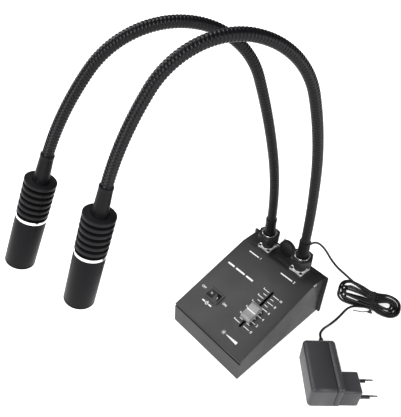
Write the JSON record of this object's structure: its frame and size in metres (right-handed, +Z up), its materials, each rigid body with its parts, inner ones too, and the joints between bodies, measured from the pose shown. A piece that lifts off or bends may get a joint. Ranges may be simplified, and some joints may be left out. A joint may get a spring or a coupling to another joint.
{
  "type": "gooseneck spot light",
  "caption": "Bench spot light: wedge-shaped control box with slide dimmer and rocker switch, twin gooseneck arms with finned LED heads, and a mains adapter on a cord.",
  "frame": {"origin": "centre of the flat rest face under the control box", "axes": "+Z up; -Y towards the user, where the sloped panel is lowest; +X to the user's right"},
  "size_m": [0.3285, 0.3743, 0.3688],
  "materials": {
    "pad": "matt",
    "case": "fine matt powder coat",
    "ballast": "as cast",
    "screws": "bright",
    "board": "satin",
    "spacers": "turned",
    "fader_case": "matt",
    "switch_case": "matt",
    "connector": "satin nickel look",
    "jack": "matt",
    "cap": "matt",
    "chain": "bright",
    "plug_grip": "satin",
    "cord": "satin",
    "tie": "satin",
    "adapter": "fine grain",
    "pins": "bright",
    "lever": "plain",
    "knob": "satin grey",
    "rocker": "matt",
    "plug_shell": "satin",
    "boot": "satin",
    "nut": "satin",
    "neck": "satin",
    "fins": "black anodised",
    "bright_ring": "polished",
    "barrel": "black anodised, satin",
    "led": "matt",
    "lens": "clear"
  },
  "bodies": {
    "box": {"base_pad": "pad", "chassis": "case", "cover": "case", "rear_plate": "case", "ballast": "ballast", "case_screws": "screws", "driver_board": "board", "board_spacers": "spacers", "fader_body": "fader_case", "switch_body": "switch_case", "socket_screws": "screws", "dc_jack": "jack", "dust_cap": "cap", "cap_chain": "chain", "dc_plug": "plug_grip", "cord_lead": "cord", "cord_hank": "cord", "cord_tail": "cord", "hank_tie": "tie", "adapter_body": "adapter", "adapter_cover": "adapter", "adapter_relief": "plug_grip", "mains_pins": "pins", "left_socket": "connector", "right_socket": "connector"},
    "fader": {"fader_lever": "lever", "fader_knob": "knob"},
    "rocker": {"switch_rocker": "rocker"},
    "left_connector": {"left_plug": "plug_shell", "left_cable_boot": "boot"},
    "left_nut": {"left_coupling_nut": "nut"},
    "left_section_1": {"left_neck_1": "neck"},
    "left_section_2": {"left_neck_2": "neck"},
    "left_section_3": {"left_neck_3": "neck"},
    "left_section_4": {"left_neck_4": "neck"},
    "left_section_5": {"left_neck_5": "neck"},
    "left_head": {"left_head_boot": "boot", "left_heat_sink": "fins", "left_trim_ring": "bright_ring", "left_barrel": "barrel", "left_led_module": "led", "left_lens": "lens"},
    "right_connector": {"right_plug": "plug_shell", "right_cable_boot": "boot"},
    "right_nut": {"right_coupling_nut": "nut"},
    "right_section_1": {"right_neck_1": "neck"},
    "right_section_2": {"right_neck_2": "neck"},
    "right_section_3": {"right_neck_3": "neck"},
    "right_section_4": {"right_neck_4": "neck"},
    "right_section_5": {"right_neck_5": "neck"},
    "right_head": {"right_head_boot": "boot", "right_heat_sink": "fins", "right_trim_ring": "bright_ring", "right_barrel": "barrel", "right_led_module": "led", "right_lens": "lens"}
  },
  "joints": [
    {"name": "fader_slide", "type": "slide", "parent": "box", "child": "fader", "axis": [0, 0.9633, 0.2685], "range_m": [-0.017, 0.033]},
    {"name": "rocker_tilt", "type": "hinge", "parent": "box", "child": "rocker", "pos_m": [-0.0245, -0.03325, 0.04052], "axis": [0, 0.9633, 0.2685], "range_deg": [-20, 0]},
    {"name": "left_plug_pull", "type": "slide", "parent": "box", "child": "left_connector", "axis": [0, 0, 1], "range_m": [0, 0.012]},
    {"name": "left_nut_turn", "type": "hinge", "parent": "left_connector", "child": "left_nut", "pos_m": [-0.0255, 0.058, 0.0824], "axis": [0, 0, 1], "continuous": true},
    {"name": "left_swing", "type": "hinge", "parent": "left_connector", "child": "left_section_1", "pos_m": [-0.0255, 0.058, 0.112], "axis": [0, 0, 1], "range_deg": [-45, 8]},
    {"name": "left_bend_low", "type": "hinge", "parent": "left_section_1", "child": "left_section_2", "pos_m": [-0.02944, 0.04911, 0.20533], "axis": [0.9143, -0.4051, 0], "range_deg": [-15, 8]},
    {"name": "left_bend_rise", "type": "hinge", "parent": "left_section_2", "child": "left_section_3", "pos_m": [-0.03952, 0.02637, 0.29592], "axis": [0.9143, -0.4051, 0], "range_deg": [-20, 10]},
    {"name": "left_sway_top", "type": "hinge", "parent": "left_section_3", "child": "left_section_4", "pos_m": [-0.06701, -0.03567, 0.3545], "axis": [0.0731, 0.165, 0.9836], "range_deg": [-15, 15]},
    {"name": "left_bend_fall", "type": "hinge", "parent": "left_section_4", "child": "left_section_5", "pos_m": [-0.10132, -0.11309, 0.32459], "axis": [0.9143, -0.4051, 0], "range_deg": [-20, 10]},
    {"name": "left_bend_head", "type": "hinge", "parent": "left_section_5", "child": "left_head", "pos_m": [-0.12125, -0.15807, 0.24495], "axis": [0.9143, -0.4051, 0], "range_deg": [-20, 15]},
    {"name": "right_plug_pull", "type": "slide", "parent": "box", "child": "right_connector", "axis": [0, 0, 1], "range_m": [0, 0.012]},
    {"name": "right_nut_turn", "type": "hinge", "parent": "right_connector", "child": "right_nut", "pos_m": [0.0255, 0.058, 0.0824], "axis": [0, 0, 1], "continuous": true},
    {"name": "right_swing", "type": "hinge", "parent": "right_connector", "child": "right_section_1", "pos_m": [0.0255, 0.058, 0.112], "axis": [0, 0, 1], "range_deg": [-8, 45]},
    {"name": "right_bend_low", "type": "hinge", "parent": "right_section_1", "child": "right_section_2", "pos_m": [0.02398, 0.05358, 0.20585], "axis": [0.9455, -0.3256, 0], "range_deg": [-15, 8]},
    {"name": "right_bend_rise", "type": "hinge", "parent": "right_section_2", "child": "right_section_3", "pos_m": [0.01755, 0.03492, 0.29755], "axis": [0.9455, -0.3256, 0], "range_deg": [-20, 10]},
    {"name": "right_sway_top", "type": "hinge", "parent": "right_section_3", "child": "right_section_4", "pos_m": [-0.00366, -0.02669, 0.36025], "axis": [0.0919, 0.267, 0.9593], "range_deg": [-15, 15]},
    {"name": "right_bend_fall", "type": "hinge", "parent": "right_section_4", "child": "right_section_5", "pos_m": [-0.03085, -0.10564, 0.33183], "axis": [0.9455, -0.3256, 0], "range_deg": [-20, 10]},
    {"name": "right_bend_head", "type": "hinge", "parent": "right_section_5", "child": "right_head", "pos_m": [-0.04478, -0.14611, 0.24855], "axis": [0.9455, -0.3256, 0], "range_deg": [-20, 15]}
  ]
}
